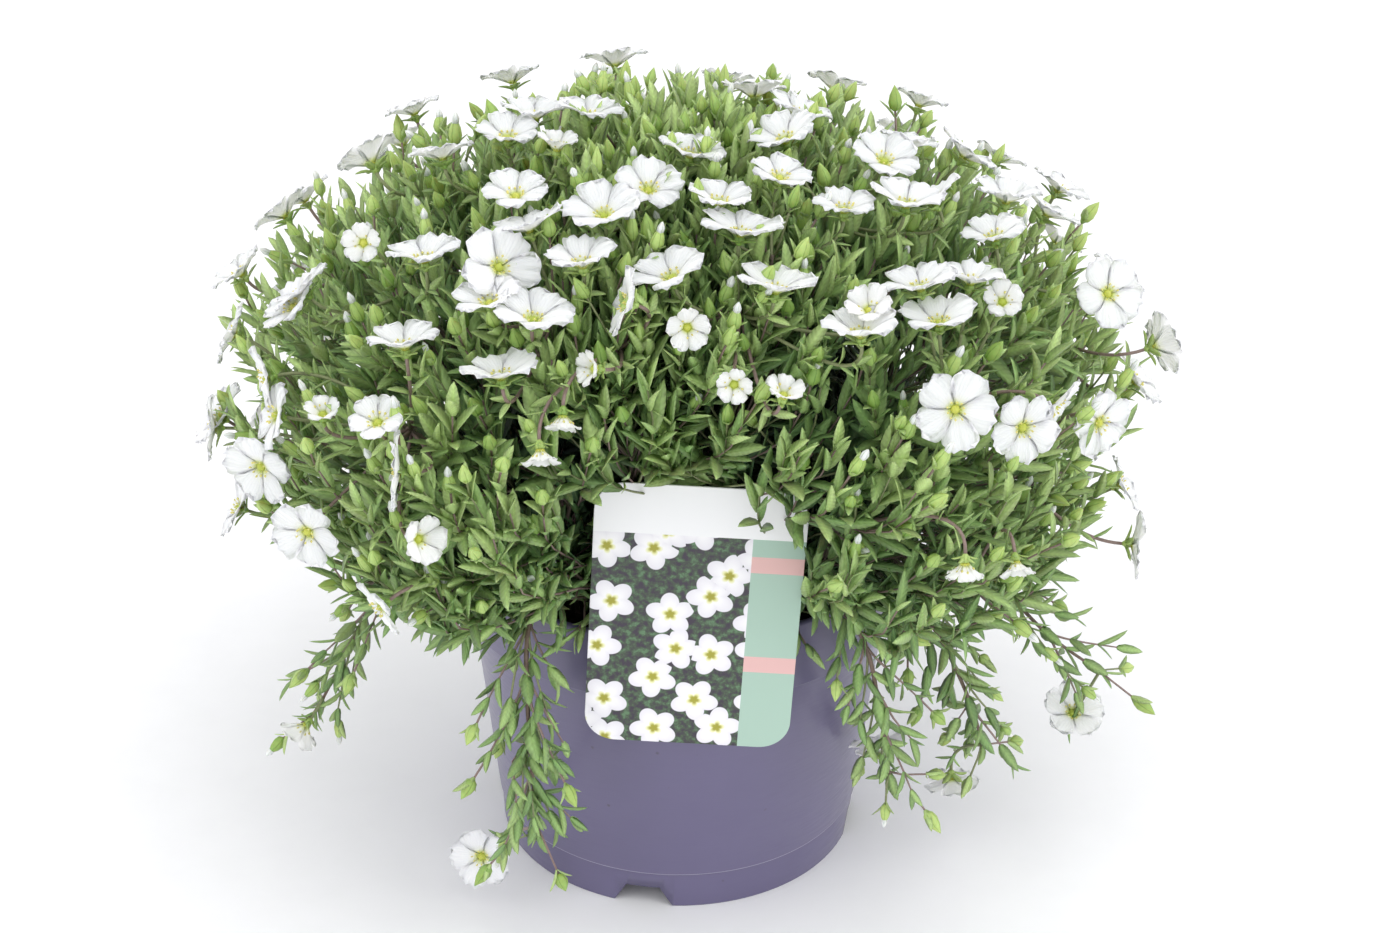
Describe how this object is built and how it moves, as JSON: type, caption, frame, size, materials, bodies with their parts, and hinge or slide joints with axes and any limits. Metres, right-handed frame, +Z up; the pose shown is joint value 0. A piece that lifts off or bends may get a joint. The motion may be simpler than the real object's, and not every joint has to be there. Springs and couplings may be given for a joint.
{
  "type": "potted mountain sandwort",
  "caption": "Mountain sandwort in full white flower, mounded over a round plastic nursery pot, with a printed label on a stake.",
  "frame": {"origin": "under the middle of the whole object's box, on the surface that the pot stands on", "axes": "+Z up the pot's axis, -Y towards the front, where the label hangs"},
  "size_m": [0.3894, 0.3516, 0.3307],
  "materials": {
    "pot": "satin",
    "compost": "matte",
    "label": "satin",
    "foliage": "matte",
    "petals": "matte",
    "flower_hearts": "matte"
  },
  "bodies": {
    "root": {"pot": "pot", "soil": "compost", "label": "label", "spray_01": "foliage", "spray_02": "foliage", "spray_03": "foliage", "spray_04": "foliage", "spray_05": "foliage", "spray_06": "foliage", "spray_07": "foliage", "spray_08": "foliage", "spray_09": "foliage", "spray_10": "foliage", "spray_11": "foliage", "spray_12": "foliage", "spray_13": "foliage", "spray_14": "foliage", "spray_15": "foliage", "spray_16": "foliage", "spray_17": "foliage", "spray_18": "foliage", "spray_19": "foliage", "spray_20": "foliage", "spray_21": "foliage", "spray_22": "foliage", "spray_23": "foliage", "spray_24": "foliage", "spray_25": "foliage", "spray_26": "foliage", "spray_27": "foliage", "spray_28": "foliage", "spray_29": "foliage", "spray_30": "foliage", "spray_31": "foliage", "spray_32": "foliage", "spray_33": "foliage", "spray_34": "foliage", "spray_35": "foliage", "spray_36": "foliage", "front_spray_01": "foliage", "front_spray_02": "foliage", "front_spray_03": "foliage", "front_spray_04": "foliage", "front_spray_05": "foliage", "front_spray_06": "foliage", "hanging_spray_01": "foliage", "hanging_spray_02": "foliage", "hanging_spray_03": "foliage", "hanging_spray_04": "foliage", "hanging_spray_05": "foliage"}
  },
  "joints": []
}
